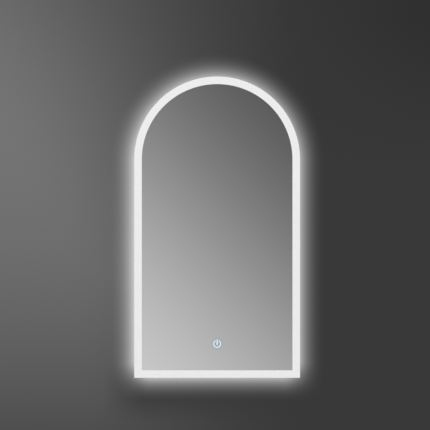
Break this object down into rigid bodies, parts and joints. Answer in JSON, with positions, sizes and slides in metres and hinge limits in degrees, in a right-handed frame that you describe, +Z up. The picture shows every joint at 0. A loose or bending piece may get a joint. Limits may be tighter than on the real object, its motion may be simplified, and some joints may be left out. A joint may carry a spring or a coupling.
{
  "type": "lighted bathroom mirror",
  "caption": "Arched wall mirror with a frosted lit border, a touch symbol, an opal light surround and a keyhole hanging rail behind.",
  "frame": {"origin": "midway between the centres of the two keyhole entries, on the wall plane at the rear face of the hanging rail", "axes": "+Z up along the mirror's height, +X to the viewer's right, +Y into the wall, so that the pane faces -Y"},
  "size_m": [0.55, 0.035, 0.9999],
  "materials": {
    "glass": "polished clear float glass with a sandblasted border",
    "silvering": "silvered, painted and filmed back",
    "foam_tape": "white closed-cell foam tape",
    "anodised": "satin anodised extrusion",
    "key_alloy": "die-cast, as cast",
    "zinc_steel": "bright zinc-plated steel",
    "galvanised": "galvanised sheet steel",
    "strip_circuit": "white solder mask",
    "led_phosphor": "lit white packages",
    "opal": "translucent opal polycarbonate",
    "bumper_rubber": "soft black rubber",
    "heating_film": "clear film over printed heating tracks",
    "lead_sheath": "white double-insulated sheath",
    "live_sheath": "brown core",
    "neutral_sheath": "blue core",
    "earth_sheath": "green and yellow core",
    "box_plastic": "white flame-retardant moulding",
    "grommet_rubber": "black rubber",
    "terminal_plastic": "natural nylon",
    "brass": "plain brass",
    "driver_case": "black potted case",
    "tinned": "tinned copper",
    "clip_nylon": "natural nylon",
    "switch_plastic": "black moulding",
    "board_laminate": "green solder mask",
    "indicator": "lit indicator package",
    "clear_acrylic": "clear moulded acrylic"
  },
  "bodies": {
    "root": {"mirror_glass": "glass", "silvered_backing": "silvering", "mounting_tape": "foam_tape", "chassis_arch": "anodised", "chassis_bottom": "anodised", "corner_keys": "key_alloy", "led_strip_arch": "strip_circuit", "led_strip_bottom": "strip_circuit", "led_chips": "led_phosphor", "strip_link_leads": "lead_sheath", "diffuser_arch": "opal", "diffuser_bottom": "opal", "hanging_rail": "galvanised", "rail_screws": "zinc_steel", "wall_bumpers": "bumper_rubber", "demister_pad": "heating_film", "demister_lead": "lead_sheath", "box_pads": "foam_tape", "box_base": "box_plastic", "box_cover": "box_plastic", "supply_grommet": "grommet_rubber", "terminal_block": "terminal_plastic", "terminal_clamps": "brass", "led_driver": "driver_case", "live_lead": "live_sheath", "neutral_lead": "neutral_sheath", "led_lead": "lead_sheath", "sensor_lead": "lead_sheath", "earth_lead": "earth_sheath", "earth_tag": "tinned", "earth_screw": "zinc_steel", "lead_clips": "clip_nylon", "sensor_gasket": "foam_tape", "sensor_housing": "switch_plastic", "sensor_board": "board_laminate", "sensor_led": "indicator", "icon_light_guide": "clear_acrylic"}
  },
  "joints": []
}
